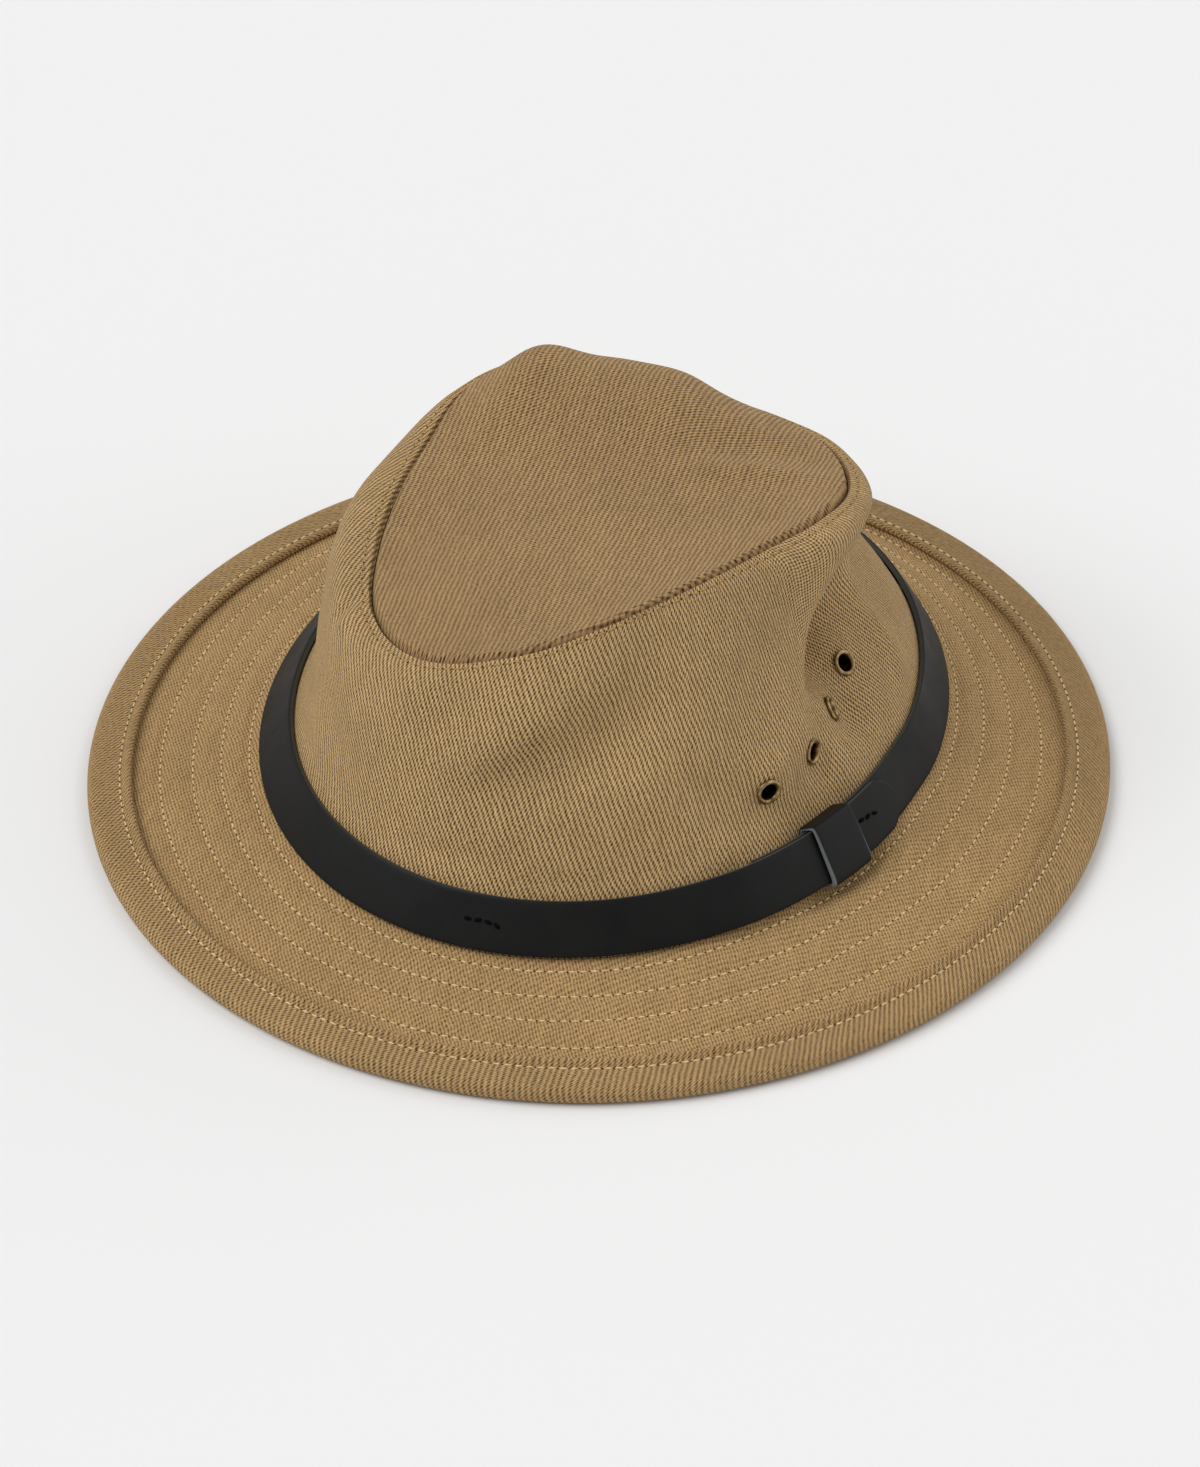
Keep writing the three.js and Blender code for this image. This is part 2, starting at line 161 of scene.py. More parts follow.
def ranged(material, value, start, end, low, high):
    """Turns values from start to end into values from low to high."""
    return add(material, "MapRange", {0: value, 1: start, 2: end, 3: low, 4: high}).outputs[0]


def mixed(material, share, low, high):
    """One colour turning into another as the share grows."""
    return add(material, "Mix", {0: share, 6: low, 7: high}, data_type="RGBA").outputs[2]


def relief(material, height, strength, deep):
    """The slopes that a height gives the surface. It is at most some millimetres deep."""
    sockets = {"Strength": strength, "Distance": deep * MM, "Height": height}
    return add(material, "Bump", sockets).outputs[0]


def surface(material, sockets):
    """Closes a material with the shader that the sockets feed."""
    shader = add(material, "BsdfPrincipled", sockets)
    add(material, "OutputMaterial", {"Surface": shader.outputs[0]})
    return material


def smooth(x):
    x = min(max(x, 0), 1)
    return x * x * (3 - 2 * x)


def plateau(turn, part):
    """1 along a part of the round, fading to 0 over its ramp at both ends."""
    before = smooth((turn - part["from"] + part["ramp"]) / part["ramp"])
    return before * smooth((part["to"] + part["ramp"] - turn) / part["ramp"])


def bump(a, b=0):
    return math.exp(-a * a - b * b)


def through(a, b, c, d, f):
    """A smooth curve through b and c, with a before them and d after them."""
    return b + 0.5 * f * (c - a + f * (2 * a - 5 * b + 4 * c - d + f * (3 * (b - c) + d - a)))


def section(column, turn):
    """One column of the crown's sections at any turn."""
    place = turn % 360 / SECTION_STEP
    row = int(place)
    at = COLUMNS.index(column)
    near = [CROWN_SECTIONS[(row + k) % len(CROWN_SECTIONS)][at] for k in (-1, 0, 1, 2)]
    return through(*near, place - row)


def polar(turn, reach, height):
    a = math.radians(turn)
    return Vector((reach * math.sin(a), CROWN_BACK - reach * math.cos(a), height))


def square_off(x, y, oval):
    """The level direction that stands square to an oval's edge, at a place from its middle."""
    return Vector((x / oval["half_x"] ** 2, y / oval["half_y"] ** 2, 0)).normalized()


def foot_point(turn, climb, out):
    """A point by the crown's sloping foot: climb runs up the slope, and out stands off it."""
    a = math.radians(turn)
    lean = math.radians(FOOT["lean"] + FOOT["right_lean"] * max(0, -math.sin(a)) ** 2)
    reach = 1 / math.hypot(math.sin(a) / FOOT["half_x"], math.cos(a) / FOOT["half_y"])
    base = polar(turn, reach, FOOT["height"])
    away = square_off(base.x, base.y - CROWN_BACK, FOOT)
    base += away * (out * math.cos(lean) - climb * math.sin(lean))
    base.z += climb * math.cos(lean) + out * math.sin(lean)
    return base


def bed(turn):
    """How far the cloth gives behind the lapped strap and its keeper."""
    return LAP["sink"] * plateau(turn, LAP) + KEEPER_BED["sink"] * plateau(turn, KEEPER_BED)


def side_dent(dents, turn, share):
    """The depth of a table's dents at a turn and a share of the wall's height."""
    total = 0
    for at, height, depth, turn_spread, share_spread, slant in dents:
        across = (turn - at - slant * (share - height) + 180) % 360 - 180
        total += depth * bump(across / turn_spread, (share - height) / share_spread)
    return total


def crumple(point):
    """The small unevenness that washed cloth keeps everywhere."""
    broad = noise.noise(point / CRUMPLE["wide"])
    return CRUMPLE["deep"] * broad + CRUMPLE["fine_deep"] * noise.noise(point / CRUMPLE["fine_wide"])


def wall_point(turn, step):
    """Outer face of the wall with its dents. Step 0 is the foot, 1 the strap's top, 2 the waist, 3
    the shoulder and 4 the tip seam, where the edge rolls down into the seam."""
    if step <= 1:
        foot = foot_point(turn, max(step, 0) * FOOT["slope"], -bed(turn))
        foot.z += min(step, 0) * FOOT["tuck"]
        return foot
    low = FOOT["height"]
    rise = section("height", turn) - low
    knots = [
        foot_point(turn, 0, -bed(turn)),
        foot_point(turn, FOOT["slope"], -bed(turn)),
        polar(turn, section("waist", turn), low + WAIST_SHARE * rise),
        polar(turn, section("shoulder", turn), low + SHOULDER_SHARE * rise),
        polar(turn, section("seam", turn), low + rise),
    ]
    knots.append(2 * knots[4] - knots[3])
    first = min(int(step), 3)
    point = through(*knots[first - 1:first + 3], step - first)
    share = (point.z - low) / rise
    free = smooth((step - 1) / DENTS_FREE["above"]) * smooth((4 - step) / DENTS_FREE["below"])
    near = smooth((step - 1) / FOLDS_FREE) * smooth((4 - step) / FOLDS_FREE)
    dent = free * side_dent(SIDE_DENTS, turn, share) + near * side_dent(SIDE_FOLDS, turn, share)
    dent += near * crumple(point)
    point -= dent * (polar(turn, 1, 0) - polar(turn, 0, 0))
    point.z -= SEAM_ROLL["deep"] * bump((4 - step) / SEAM_ROLL["wide"])
    return point


# How far off, in degrees of turn and in steps, the neighbours lie that give the wall's slopes.
BESIDE = {"turn": 0.5, "step": 0.02}


def directions(face, turn, step):
    """Unit vectors round the wall, up it and out of it, on a face given by turn and step."""
    around = (face(turn + BESIDE["turn"], step) - face(turn - BESIDE["turn"], step)).normalized()
    up = (face(turn, min(step + BESIDE["step"], 4)) - face(turn, step - BESIDE["step"])).normalized()
    return around, up, around.cross(up).normalized()


# Each vent's turn and step, and how steeply the cloth tips there, round the wall and up it. The
# right side's are mirrored about the crown's own front, which is twisted a little, and lie flat.
VENTS = ((53, 1.35, 0.3, 0.33), (68, 1.34, 0, 0.28), (81, 1.38, -0.6, 0.6), (94, 1.5, 0.1, 0.45))
VENT_SPREAD = 7
CROWN_FRONT = -19
vent_seats = {}
for number, (turn, step, tip_round, tip_up) in enumerate(VENTS, 1):
    sides = {"left": (turn, tip_round, tip_up), "right": (2 * CROWN_FRONT - turn, 0, 0)}
    for side, (at, *tips) in sides.items():
        facing = directions(wall_point, at, step)
        vent_seats[f"{side}_{number}"] = (at, step, *tips, wall_point(at, step), facing)


def side_point(turn, step):
    """The wall's outer face with the cloth tipped at the vents."""
    point = wall_point(turn, step)
    for _, _, tip_round, tip_up, middle, (around, up, out) in vent_seats.values():
        apart = point - middle
        if apart.length < 3 * VENT_SPREAD:
            tipped = tip_round * apart.dot(around) + tip_up * apart.dot(up)
            point = point + tipped * bump(apart.length / VENT_SPREAD) * out
    return point


def side_normal(turn, step):
    return directions(side_point, turn, step)[2]


def side_inner(turn, step):
    """The wall's inner face. It turns level at the foot and to the seam's underside at the top."""
    inward = -side_normal(turn, step)
    if step <= 0:
        inward.z = 0
    inward = inward.normalized().lerp(Vector((0, 0, -1)), smooth((step - 4) / SEAM_BLEND + 1))
    return side_point(turn, step) + CLOTH * inward.normalized()


def swept(columns, rows, place, flat, closed=True):
    """A sheet bent round into its shape. place(turn, row) gives each point, and flat(point, turn,
    along, across) its place on the flat cloth or hide: along is measured round from turn 0, and
    across from the nearer end of the rows. A closed one joins its last row to its first."""
    turns = [360 * i / columns - 180 for i in range(columns + 1)]
    points = [[place(turn, row) for row in range(rows)] for turn in turns]
    along = [[0] * rows]
    for here, after in zip(points, points[1:]):
        along.append([run + (a - b).length for run, a, b in zip(along[-1], here, after)])
    across = []
    for column in points:
        run = [0]
        for a, b in zip(column, column[1:]):
            run.append(run[-1] + (a - b).length)
        whole = run[-1] + (column[0] - column[-1]).length * closed
        across.append([min(reach, whole - reach) for reach in run])
    shape = bmesh.new()
    last = rows if closed else rows - 1
    bmesh.ops.create_grid(shape, x_segments=columns, y_segments=last, size=1)
    layer = shape.loops.layers.uv.new("flat")
    for vert in shape.verts:
        i = round((vert.co.x + 1) / 2 * columns)
        row = round((vert.co.y + 1) / 2 * last) % rows
        point = points[i][row]
        spot = flat(point, turns[i], along[i][row] - along[columns // 2][row], across[i][row])
        vert.co = point * MM
        for loop in vert.link_loops:
            loop[layer].uv = spot
    bmesh.ops.remove_doubles(shape, verts=shape.verts, dist=0.001 * MM)
    bmesh.ops.recalc_face_normals(shape, faces=shape.faces)
    return shape


def piece_of(name, shape, material, sharp=50):
    """An object of a finished bmesh, smooth but for edges that turn by more than sharp degrees."""
    mesh = bpy.data.meshes.new(name)
    shape.to_mesh(mesh)
    shape.free()
    mesh.shade_smooth()
    mesh.set_sharp_from_angle(angle=math.radians(sharp))
    mesh.materials.append(material)
    piece = bpy.data.objects.new(name, mesh)
    bpy.context.scene.collection.objects.link(piece)
    return piece


# The weave's finer traits: how far the yarns stray, and the scale across and along the ribs of the
# streaks of thicker yarn.
STRAY = (1.2, 1.2, 0)
STREAK_SCALE = (0.5, 0.13, 1)


def twill(name, lit, shade, ribs, dashes, depth):
    """Brushed cotton twill: matt, sandy and soft, with fine slanting ribs, faded patches and a
    faint bloom where it turns away. Ribs and dashes are waves on the flat cloth, each with its
    length, heading and strength, and depth is the ribs' height. The hollows between the ribs are
    painted in the shade colour and the crowns in the lit colour: painted shade and painted light.
    The ribs are as far apart as in the photo. The dashes of single yarns are drawn coarser, as the
    picture can't hold real ones."""
    material = blank(name)
    flat = add(material, "UVMap", uv_map="flat").outputs[0]
    wander = clouds(material, flat, scale=0.16, detail=3, roughness=0.6)[1]
    strayed = {0: wander, 1: STRAY, 2: flat}
    drawn = add(material, "VectorMath", strayed, operation="MULTIPLY_ADD").outputs[0]
    waves = []
    for length, heading, strength in (ribs, dashes):
        turn = math.radians(heading)
        wave = (2 * math.pi / length * math.cos(turn), 2 * math.pi / length * math.sin(turn), 0)
        phase = add(material, "VectorMath", {0: drawn, 1: wave}, operation="DOT_PRODUCT").outputs[1]
        sine = reckon(material, "SINE", phase)
        waves.append(reckon(material, "MULTIPLY", sine, strength))
    # Fibres raised by the brushing, finer than the ribs, break up their edges.
    fuzz = clouds(material, flat, scale=1.5, detail=3, roughness=0.7)[0]
    fuzz_share = 1.7
    height = reckon(material, "MULTIPLY_ADD", fuzz, fuzz_share, reckon(material, "ADD", *waves))
    lowest = 0.31
    level = reckon(material, "SUBTRACT", height, lowest, clamp=True)
    # Hollows between the ribs are narrower than the ribs.
    narrowing = 0.7
    crown = reckon(material, "POWER", level, narrowing)
    # Painted shade in the hollows between the ribs, and painted light on their crowns.
    weave_with_painted_shade = mixed(material, crown, linear(shade), linear(lit))
    # Streaks of thicker or paler yarn along the ribs.
    along_ribs = {"Vector": drawn, "Rotation": (0, 0, -math.radians(ribs[1])), "Scale": STREAK_SCALE}
    streaks = clouds(material, add(material, "Mapping", along_ribs).outputs[0], scale=1, detail=2)[0]
    # Uneven dye and wear, in patches of about 40 mm.
    patches = clouds(material, flat, scale=0.025, detail=5, roughness=0.65)[0]
    uneven = reckon(material, "ADD", streaks, patches)
    wear = ranged(material, uneven, start=0.7, end=1.3, low=0.88, high=1.12)
    colour = add(material, "VectorMath", {0: weave_with_painted_shade, 3: wear}, operation="SCALE").outputs[0]
    return surface(material, {
        "Base Color": colour,
        "Roughness": 0.93,
        "IOR": 1.53,
        "Specular IOR Level": 0.25,
        "Sheen Weight": 0.12,
        "Sheen Roughness": 0.45,
        "Sheen Tint": linear("#f3e2c4"),
        "Normal": relief(material, crown, strength=0.9, deep=depth),
    })


def stepped(stretches, end):
    """Places for a sheet's rows. Each stretch gives its start and its number of rows."""
    stops = [start for start, count in stretches[1:]] + [end]
    places = []
    for (start, count), stop in zip(stretches, stops):
        places += [start + (stop - start) * k / count for k in range(count)]
    return places + [end]


# The strip was cut on a curve, so its ribs fan out from the middle of the wearer's left front.
FAN = {"middle": 45, "rate": 0.33, "foot": 288}
# The warmest and most open of the four twills: a lit copy of the cloth, painted lighter than the tip's to
# make up for the light that the standing wall misses. Its painted rib shade stands in for light that rakes
# the wall and shows every rib.
side_twill = twill("brushed_twill_side", "#d3b07b", "#4b3216", (1.25, 14, 0.38), (0.7, -38, 0.32), 0.42)
SIDE_COLUMNS = 360
# Rows lie closest where the edge rolls into the seam.
outer_steps = stepped(((-1, 2), (0, 4), (1, 54), (3.7, 8), (3.94, 8)), 4)
inner_steps = stepped(((4, 25),), -1)
side_steps = outer_steps + inner_steps


def side_place(turn, row):
    inner = row >= len(outer_steps)
    return side_inner(turn, side_steps[row]) if inner else side_point(turn, side_steps[row])


def side_flat(point, turn, along, across):
    fan = math.radians(FAN["rate"] * (turn - FAN["middle"]))
    reach = FAN["foot"] - across
    return reach * math.sin(fan), -reach * math.cos(fan)


side_shape = swept(SIDE_COLUMNS, len(side_steps), side_place, side_flat)
side_wall = piece_of("side_wall", side_shape, side_twill)

# Holes for the vents, punched through the wall.
PUNCH = {"radius": 2.6, "long": 12, "sides": 24}
punch_shape = bmesh.new()
vent_frames = {}
for name, (turn, step, *_) in vent_seats.items():
    stand = Vector((0, 0, 1)).rotation_difference(side_normal(turn, step)).to_matrix().to_4x4()
    stand.translation = side_point(turn, step) * MM
    vent_frames[name] = stand
    radius = PUNCH["radius"] * MM
    bmesh.ops.create_cone(punch_shape, cap_ends=True, segments=PUNCH["sides"], radius1=radius,
                          radius2=radius, depth=PUNCH["long"] * MM, matrix=stand)
punch = piece_of("punch", punch_shape, side_twill)
holes = side_wall.modifiers.new("holes", "BOOLEAN")
holes.operation = "DIFFERENCE"
holes.solver = "EXACT"
holes.object = punch
bpy.context.view_layer.update()
punched = side_wall.evaluated_get(bpy.context.evaluated_depsgraph_get())
cut_mesh = bpy.data.meshes.new_from_object(punched)
side_wall.modifiers.clear()
side_wall.data = cut_mesh
bpy.data.objects.remove(punch)
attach(side_wall, "root")
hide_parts("crown_side")

# Crown tip
# An oval panel of the same twill closes the crown, its ribs running from front to back. Its edge
# is turned under and sewn to the wall, so it rolls down into the seam. It has its own soft folds.
TIP_HEIGHT = 79
TIP_GAP = 0.3
# Each fold's place, rise, half-length, half-width and heading.
TIP_FOLDS = (
    (-12, 44, 14.6, 36, 24, 0),
    (-36, 42, 6, 9, 26, -10),
    (4, 48, 2, 8, 20, 10),
    (32, 25, 2, 16, 4, 22),
    (30, 35, -2.7, 18, 7, 30),
)
TIP_ROLL = {"deep": 2.6, "wide": 0.6, "puff": 0.9, "puff_wide": 5}
# Powers of the spread: how late the panel climbs to its seam, and its folds and crumple fade.
TIP_EASE = {"climb": 3, "folds": 10, "crumple": 6}
BY_THE_SEAM = 3.999
# A little duller and closer than the wall's, as painted shade: its ribs point away from the light.
tip_twill = twill("brushed_twill_tip", "#bc996a", "#482f15", (1.3, 3, 0.26), (0.7, -49, 0.3), 0.36)


def tip_point(turn, spread):
    """Top of the tip. The spread runs from 0 at its middle to 1 at the seam."""
    seam = side_point(turn, BY_THE_SEAM)
    seam.z += SEAM_ROLL["deep"]
    reach = math.hypot(seam.x, seam.y - CROWN_BACK)
    share = spread * (1 - TIP_GAP / reach)
    x = seam.x * share
    y = (seam.y - CROWN_BACK) * share
    folds = 0
    for at_x, at_y, rise, long, wide, heading in TIP_FOLDS:
        a = math.radians(heading)
        dx = x - at_x
        dy = y - at_y
        folds += rise * bump((dx * math.cos(a) + dy * math.sin(a)) / long,
                             (dy * math.cos(a) - dx * math.sin(a)) / wide)
    z = TIP_HEIGHT + (seam.z - TIP_HEIGHT) * spread ** TIP_EASE["climb"]
    z += folds * (1 - spread ** TIP_EASE["folds"])
    inside = (1 - spread) * reach
    z += TIP_ROLL["puff"] * bump(inside / TIP_ROLL["puff_wide"])
    z -= TIP_ROLL["deep"] * bump(inside / TIP_ROLL["wide"])
    point = Vector((x, CROWN_BACK + y, z))
    point.z += (1 - spread ** TIP_EASE["crumple"]) * crumple(point)
    return point


under_spreads = stepped(((0, 12),), 1)
over_spreads = stepped(((1, 12), (0.94, 8), (0.82, 30)), 0)
tip_spreads = under_spreads + over_spreads


def tip_place(turn, row):
    point = tip_point(turn, tip_spreads[row])
    point.z -= CLOTH if row < len(under_spreads) else 0
    return point


def level_flat(point, turn, along, across):
    return point.x, point.y


tip_shape = swept(SIDE_COLUMNS, len(tip_spreads), tip_place, level_flat, closed=False)
tip = piece_of("tip_panel", tip_shape, tip_twill)
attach(tip, "root")
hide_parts("crown_tip")

# Brim
# Two plies of twill with a firm lining between them, cut as flat rings and quilted together by
# rows of machine stitches. It slopes down and out, and it lies flat near its edge.
BRIM = {
    "half_x": 131,
    "half_y": 136.9,
    "thick": 2.2,
    "inner_top": 12.4,
    "edge_top": 3.6,
    "flat": 11,
    "bend": 1.25,
}
# The dip under the keeper, and how far out it reaches as a share of the brim's slope.
DIP = {"depth": 2.4, "row": 0.3}
BRIM_SEAMS = (0.39, 0.585, 0.755, 0.925)
SEAM_SINK = {"deep": 0.5, "wide": 1.8}
BRIM_COLUMNS = 360
# Pressed flatter by the quilting: pale and quiet, its ribs low and its hollows soft, with paler painted
# shade in them than the wall's.
brim_twill = twill("brushed_twill_brim", "#c3a06d", "#5b3f1f", (1.3, -45, 0.14), (0.79, 34, 0.3), 0.25)


def brim_top(turn, share, sunk=True):
    """Top of the brim: share runs from 0 at its own edge to 1 beside the crown."""
    a = math.radians(turn)
    inner = foot_point(turn, 0, -bed(turn))
    away = Vector((inner.x, inner.y - CROWN_BACK, 0)).normalized()
    inner += TIP_GAP * away
    outer = Vector((BRIM["half_x"] * math.sin(a), -BRIM["half_y"] * math.cos(a), 0))
    inner.z = 0
    width = (outer - inner).length
    reach = share * width
    point = outer.lerp(inner, share)
    slope = max(0, (reach - BRIM["flat"]) / (width - BRIM["flat"]))
    row = 1 - slope
    sink = DIP["depth"] * plateau(turn, KEEPER_BED)
    point.z = BRIM["edge_top"] + (BRIM["inner_top"] - BRIM["edge_top"]) * slope ** BRIM["bend"]
    point.z -= sink * (1 - smooth(row / DIP["row"]))
    if sunk:
        pulled = sum(bump((share - at) * width / SEAM_SINK["wide"]) for at in BRIM_SEAMS)
        point.z -= SEAM_SINK["deep"] * pulled
    return point


over_shares = stepped(((0, 80),), 1)
under_shares = stepped(((1, 12),), 0)
brim_shares = over_shares + under_shares


def brim_place(turn, row):
    under = row >= len(over_shares)
    point = brim_top(turn, brim_shares[row], sunk=not under)
    point.z -= BRIM["thick"] if under else 0
    return point


brim_shape = swept(BRIM_COLUMNS, len(brim_shares), brim_place, level_flat)
brim = piece_of("stitched_brim", brim_shape, brim_twill)
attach(brim, "root")
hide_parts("brim")

# Brim stitching
# Rows of lockstitch in cotton thread a little lighter than the twill. Each stitch shows as a short
# dash that dives into a needle hole at both ends. Each hole is a dark bead of painted shade.
STITCH = {"pitch": 2.7, "long": 1.9, "wide": 0.52, "high": 0.3}
# The size of the dark bead of painted shade that stands for a needle hole.
HOLE_SHADE_SIZE = {"long": 0.6, "wide": 0.55, "high": 0.12}
# How far off the neighbours lie that give a thread's direction and the cloth's slope beside it.
ASIDE = {"thread": 0.2, "turn": 0.3, "share": 0.02}


def plain(name, colour, roughness):
    """A matt finish for small parts, whose colour varies a little from place to place."""
    material = blank(name)
    place = add(material, "TexCoord").outputs["Object"]
    grain = clouds(material, place, scale=900, detail=2)[0]
    shade = ranged(material, grain, start=0.3, end=0.7, low=0.8, high=1.15)
    shaded = {0: linear(colour)[:3], 3: shade}
    return surface(material, {
        "Base Color": add(material, "VectorMath", shaded, operation="SCALE").outputs[0],
        "Roughness": roughness,
        "Specular IOR Level": 0.1,
        "Normal": relief(material, grain, strength=0.5, deep=0.05),
    })


# Dry and pale, it stands out from the cloth as rows of light dashes.
thread = plain("cotton_thread_spun", "#e2c799", 0.8)
# A dark speck of painted shade where the thread dives into its needle hole, which parts one dash from the
# next.
hole_shade = plain("needle_hole_painted_shade", "#4c3517", 1.0)


def even_turns(path, pitch):
    """Turns that space stitches evenly round a closed path."""
    count = 1440
    turns = [360 * k / count for k in range(count + 1)]
    run = [0]
    for a, b in zip(turns, turns[1:]):
        run.append(run[-1] + (path(a) - path(b)).length)
    stitches = round(run[-1] / pitch)
    wanted = [run[-1] * k / stitches for k in range(stitches)]
    spots = []
    k = 0
    for length in wanted:
        while run[k + 1] < length:
            k += 1
        spots.append(turns[k] + (length - run[k]) / (run[k + 1] - run[k]) * 360 / count)
    return spots


def bead(size, slot):
    """One low bead of thread, to be set in place again and again."""
    shape = bmesh.new()
    bmesh.ops.create_uvsphere(shape, u_segments=6, v_segments=4, radius=MM,
                              matrix=Matrix.Diagonal((size["long"] / 2, size["wide"] / 2, size["high"], 1)))
    for face in shape.faces:
        face.material_index = slot
    mesh = bpy.data.meshes.new("bead")
    shape.to_mesh(mesh)
    shape.free()
    return mesh


def stitch(shape, thread_bead, place, along, out):
    """Sets a bead in place: along is the thread's direction, and out the way off the cloth."""
    along = along.normalized()
    across = out.cross(along).normalized()
    stand = Matrix((along, across, along.cross(across))).transposed().to_4x4()
    stand.translation = place * MM
    one = thread_bead.copy()
    one.transform(stand)
    shape.from_mesh(one)
    bpy.data.meshes.remove(one)


thread_dash = bead(STITCH, 0)
hole_shade_bead = bead(HOLE_SHADE_SIZE, 1)


def stitch_row(shape, path, out, pitch):
    """A closed row of stitches with their needle holes, dark beads of painted shade, on a path given by the
    turn.
    """
    turns = even_turns(path, pitch)
    step = 180 / len(turns)
    for turn in turns:
        along = path(turn + ASIDE["thread"]) - path(turn - ASIDE["thread"])
        stitch(shape, thread_dash, path(turn), along, out(turn))
        stitch(shape, hole_shade_bead, path(turn + step), along, out(turn))


seam_shape = bmesh.new()
for share in BRIM_SEAMS:
    def seam_path(turn):
        return brim_top(turn, share)

    def seam_out(turn):
        around = brim_top(turn + ASIDE["turn"], share) - brim_top(turn - ASIDE["turn"], share)
        above = brim_top(turn, share + ASIDE["share"], sunk=False)
        return around.cross(above - brim_top(turn, share - ASIDE["share"], sunk=False))

    stitch_row(seam_shape, seam_path, seam_out, STITCH["pitch"])
seams = piece_of("brim_stitching", seam_shape, thread)
seams.data.materials.append(hole_shade)
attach(seams, "root")

# Crown topstitching
# The tip seam is sewn again from outside, a little below it. The thread is cotton dyed to match the
# twill, and its row holds down the folded edges behind.
TOPSTITCH = {"drop": 3.2, "step_above": 3.9, "step_below": 3.6}


def top_path(turn):
    reach = (polar(turn, section("seam", turn), 0) - polar(turn, section("shoulder", turn), 0)).length
    rise = (1 - SHOULDER_SHARE) * (section("height", turn) - FOOT["height"])
    return side_point(turn, 4 - TOPSTITCH["drop"] / math.hypot(reach, rise))


def top_out(turn):
    around = top_path(turn + ASIDE["turn"]) - top_path(turn - ASIDE["turn"])
    above = side_point(turn, TOPSTITCH["step_above"])
    return around.cross(above - side_point(turn, TOPSTITCH["step_below"]))


top_shape = bmesh.new()
stitch_row(top_shape, top_path, top_out, STITCH["pitch"])
# Near the cloth's own shade, so the row shows as a faint furrow rather than a line.
matched_thread = plain("cotton_thread_dyed_to_match", "#b08c56", 0.9)
top_seam = piece_of("crown_topstitching", top_shape, matched_thread)
top_seam.data.materials.append(hole_shade)
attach(top_seam, "root")

# Brim binding
# A strip of the same twill is folded over the brim's edge and sewn down through all plies. Its
# ribs run across it. The stitches press it in, so its inner edge stands up as a rounded ridge.
# Each point's distance past the brim's own edge, and its height, from the hidden lower end round.
HEM_OUTLINE = (
    (-8, 1.1), (-8.1, 0.5), (-7.6, 0.05), (-4, 0.02), (-1, 0.05), (0.7, 0.45), (1.45, 1.5), (1.6, 2.6),
    (1.4, 3.7), (0.7, 4.6), (-0.6, 5.0), (-2.8, 4.95), (-5, 4.75), (-6.6, 4.7), (-7.3, 4.75),
    (-7.9, 5.35), (-8.7, 5.95), (-9.5, 5.9), (-10, 5.4), (-10.15, 4.6), (-9.8, 3.98), (-8, 3.92),
    (-4, 3.9), (0.3, 3.9), (0.3, 1.1), (-4, 1.1),
)
HEM_FINE = 3
HEM_COLUMNS = 480
# Coarse ribs that cross the narrow strip, so the edge looks like a fine rope of short bars, with painted
# shade in the hollows between them.
hem_twill = twill("brushed_twill_binding", "#c4a16e", "#51371a", (1.5, 9, 0.3), (0.75, -45, 0.24), 0.42)


def hem_edge(turn):
    """A place on the brim's own edge, and the level direction out of it."""
    a = math.radians(turn)
    edge = Vector((BRIM["half_x"] * math.sin(a), -BRIM["half_y"] * math.cos(a), 0))
    return edge, square_off(edge.x, edge.y, BRIM)


def hem_place(turn, row):
    corner, part = divmod(row, HEM_FINE)
    near = [Vector(HEM_OUTLINE[(corner + k) % len(HEM_OUTLINE)]) for k in (-1, 0, 1, 2)]
    out, up = through(*near, part / HEM_FINE)
    edge, away = hem_edge(turn)
    return edge + out * away + Vector((0, 0, up))


def strip_flat(point, turn, along, across):
    return along, across


hem_rows = HEM_FINE * len(HEM_OUTLINE)
binding = piece_of("bound_hem", swept(HEM_COLUMNS, hem_rows, hem_place, strip_flat), hem_twill)
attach(binding, "root")
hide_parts("brim_binding")

# Binding stitches
# One row of the same pale lockstitch runs in the step beside the ridge. It goes through the strip,
# the brim's plies and the strip's lower edge.
HEM_SEAM = {"out": -6.9, "up": 4.72}
hem_seam_shape = bmesh.new()


def hem_seam_path(turn):
    edge, away = hem_edge(turn)
    return edge + HEM_SEAM["out"] * away + Vector((0, 0, HEM_SEAM["up"]))


stitch_row(hem_seam_shape, hem_seam_path, lambda turn: Vector((0, 0, 1)), STITCH["pitch"])
hem_seam = piece_of("binding_stitching", hem_seam_shape, thread)
hem_seam.data.materials.append(hole_shade)
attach(hem_seam, "root")

# Strap
# A belt of black vegetable-tanned leather with square cut edges goes round the crown's foot. Its
# rounded tail is threaded through the keeper and laid over its start.
STRAP = {
    "width": 14,
    "thick": 1.8,
    "rise": 0.75,
    "start": 46,
    "end": 439,
    "tail": 4.6,
    "tip": 1.5,
    "gap": 0.3,
}
STRAP_ROWS = {"long": 520, "tail": 16}
STRAP_COLUMNS = 24
# The power that squares off a strap's section. A full 1 would leave it an oval.
BLUNT = 0.25


